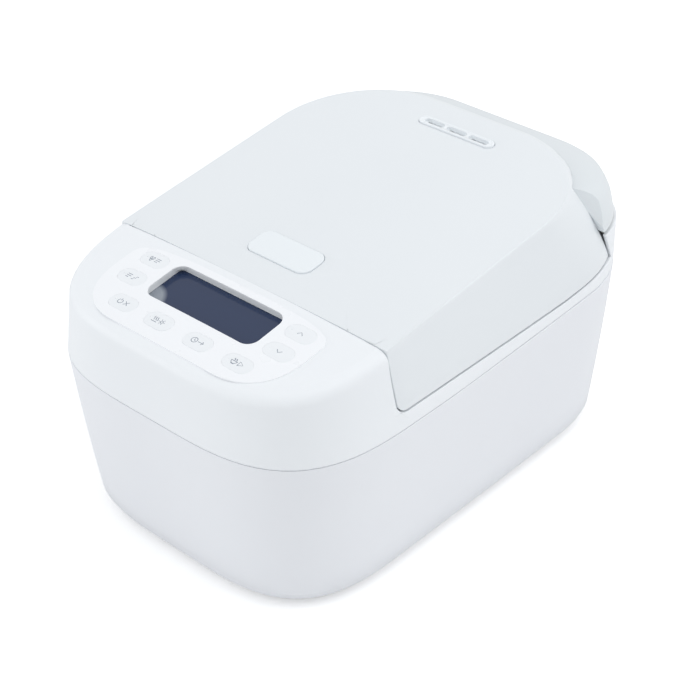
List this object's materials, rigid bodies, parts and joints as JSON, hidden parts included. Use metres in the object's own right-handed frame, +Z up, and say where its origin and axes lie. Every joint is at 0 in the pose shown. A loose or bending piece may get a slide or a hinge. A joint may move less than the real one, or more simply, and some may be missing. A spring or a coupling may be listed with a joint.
{
  "type": "rice cooker",
  "caption": "White countertop induction rice cooker with a sloping key panel, recessed display, hinged lid with release button and steam vent, and a removable inner pot.",
  "frame": {"origin": "on the table under the middle of the case", "axes": "+Z up, -Y towards the control panel in front, +X to the user's right"},
  "size_m": [0.27, 0.388, 0.2231],
  "materials": {
    "case_white": "satin white",
    "frame_white": "white, semi-gloss",
    "lid_white": "white, gloss",
    "cover_white": "white, gloss",
    "panel_sheet": "soft satin sheet",
    "key_white": "soft satin",
    "button_white": "white, gloss",
    "cap_white": "white, gloss",
    "window": "smoked clear",
    "display": "dark display",
    "board_green": "circuit board",
    "rubber_grey": "grey rubber",
    "gasket": "pale silicone",
    "steel": "zinc-plated steel",
    "spring_steel": "spring steel",
    "pot_coating": "dark non-stick",
    "aluminium": "plain aluminium",
    "well_grey": "heat-resistant resin",
    "ring_grey": "resin",
    "holder_ivory": "resin",
    "copper": "enamelled copper wire",
    "ferrite": "sintered ferrite",
    "black_plastic": "black resin",
    "part_brown": "sleeved parts",
    "contact_brass": "plated contact",
    "base_grey": "coated steel",
    "lid_grey": "resin"
  },
  "bodies": {
    "case": {"lower_case": "case_white", "upper_frame": "frame_white", "base_plate": "base_grey", "feet": "rubber_grey", "base_screws": "steel", "pot_well": "well_grey", "well_ring": "ring_grey", "inner_pot": "pot_coating", "coil_holder": "holder_ivory", "bottom_coil": "copper", "side_coil": "copper", "ferrite_bars": "ferrite", "sensor_holder": "holder_ivory", "sensor_spring": "spring_steel", "power_board": "board_green", "heat_sink": "aluminium", "capacitors": "part_brown", "fan_frame": "black_plastic", "control_board": "board_green", "display_module": "display", "display_window": "window", "panel_sheet": "panel_sheet", "latch_catch": "steel", "power_inlet": "black_plastic", "inlet_pins": "contact_brass", "hinge_bracket": "steel", "hinge_pin": "steel", "hinge_springs": "spring_steel"},
    "lid": {"lid_shell": "lid_white", "hinge_cover": "cover_white", "lid_base": "lid_grey", "lid_heater": "aluminium", "lid_sensor": "holder_ivory", "inner_lid": "aluminium", "pot_gasket": "gasket", "steam_box": "lid_grey", "lid_screws": "steel", "hinge_arms": "steel", "latch_pin": "steel", "button_guide": "lid_grey", "button_spring": "spring_steel"},
    "button": {"lid_button": "button_white"},
    "hook": {"latch_hook": "steel"},
    "vent_cap": {"steam_cap": "cap_white"},
    "rotor": {"fan_rotor": "black_plastic"},
    "sensor": {"pot_sensor": "aluminium"},
    "key_left_rear_body": {"key_left_rear": "key_white"},
    "key_left_front_body": {"key_left_front": "key_white"},
    "key_up_body": {"key_up": "key_white"},
    "key_down_body": {"key_down": "key_white"},
    "key_front_1_body": {"key_front_1": "key_white"},
    "key_front_2_body": {"key_front_2": "key_white"},
    "key_front_3_body": {"key_front_3": "key_white"},
    "key_start_body": {"key_start": "key_white"}
  },
  "joints": [
    {"name": "lid_hinge", "type": "hinge", "parent": "case", "child": "lid", "pos_m": [0, 0.1728, 0.19], "axis": [-1, 0, 0], "range_deg": [0, 85], "deforming": ["hinge_springs"]},
    {"name": "lid_button_press", "type": "slide", "parent": "lid", "child": "button", "axis": [0, -0.1213, 0.9926], "range_m": [-0.003, 0], "stiffness_N_per_m": 600, "springref_m": 0.003, "deforming": ["button_spring"]},
    {"name": "hook_turn", "type": "hinge", "parent": "lid", "child": "hook", "pos_m": [0, -0.084, 0.156], "axis": [-1, 0, 0], "range_deg": [0, 8]},
    {"name": "vent_cap_lift", "type": "slide", "parent": "lid", "child": "vent_cap", "axis": [0, -0.1128, 0.9936], "range_m": [0, 0.03]},
    {"name": "fan_spin", "type": "hinge", "parent": "case", "child": "rotor", "pos_m": [-0.052, -0.124, 0.012], "axis": [0, 0, 1], "continuous": true},
    {"name": "sensor_press", "type": "slide", "parent": "case", "child": "sensor", "axis": [0, 0, 1], "range_m": [-0.0015, 0], "stiffness_N_per_m": 1000, "springref_m": 0.002, "deforming": ["sensor_spring"]},
    {"name": "key_left_rear_press", "type": "slide", "parent": "case", "child": "key_left_rear_body", "axis": [0, -0.1541, 0.988], "range_m": [-0.0005, 0], "stiffness_N_per_m": 800, "springref_m": 0.0005},
    {"name": "key_left_front_press", "type": "slide", "parent": "case", "child": "key_left_front_body", "axis": [0, -0.1541, 0.988], "range_m": [-0.0005, 0], "stiffness_N_per_m": 800, "springref_m": 0.0005},
    {"name": "key_up_press", "type": "slide", "parent": "case", "child": "key_up_body", "axis": [0, -0.1541, 0.988], "range_m": [-0.0005, 0], "stiffness_N_per_m": 800, "springref_m": 0.0005},
    {"name": "key_down_press", "type": "slide", "parent": "case", "child": "key_down_body", "axis": [0, -0.1541, 0.988], "range_m": [-0.0005, 0], "stiffness_N_per_m": 800, "springref_m": 0.0005},
    {"name": "key_front_1_press", "type": "slide", "parent": "case", "child": "key_front_1_body", "axis": [0, -0.1541, 0.988], "range_m": [-0.0005, 0], "stiffness_N_per_m": 800, "springref_m": 0.0005},
    {"name": "key_front_2_press", "type": "slide", "parent": "case", "child": "key_front_2_body", "axis": [0, -0.1541, 0.988], "range_m": [-0.0005, 0], "stiffness_N_per_m": 800, "springref_m": 0.0005},
    {"name": "key_front_3_press", "type": "slide", "parent": "case", "child": "key_front_3_body", "axis": [0, -0.1541, 0.988], "range_m": [-0.0005, 0], "stiffness_N_per_m": 800, "springref_m": 0.0005},
    {"name": "key_start_press", "type": "slide", "parent": "case", "child": "key_start_body", "axis": [0, -0.1541, 0.988], "range_m": [-0.0005, 0], "stiffness_N_per_m": 800, "springref_m": 0.0005}
  ],
  "couplings": [
    {"joint": "hook_turn", "follows": "lid_button_press", "rad_per_m": -43.5}
  ]
}
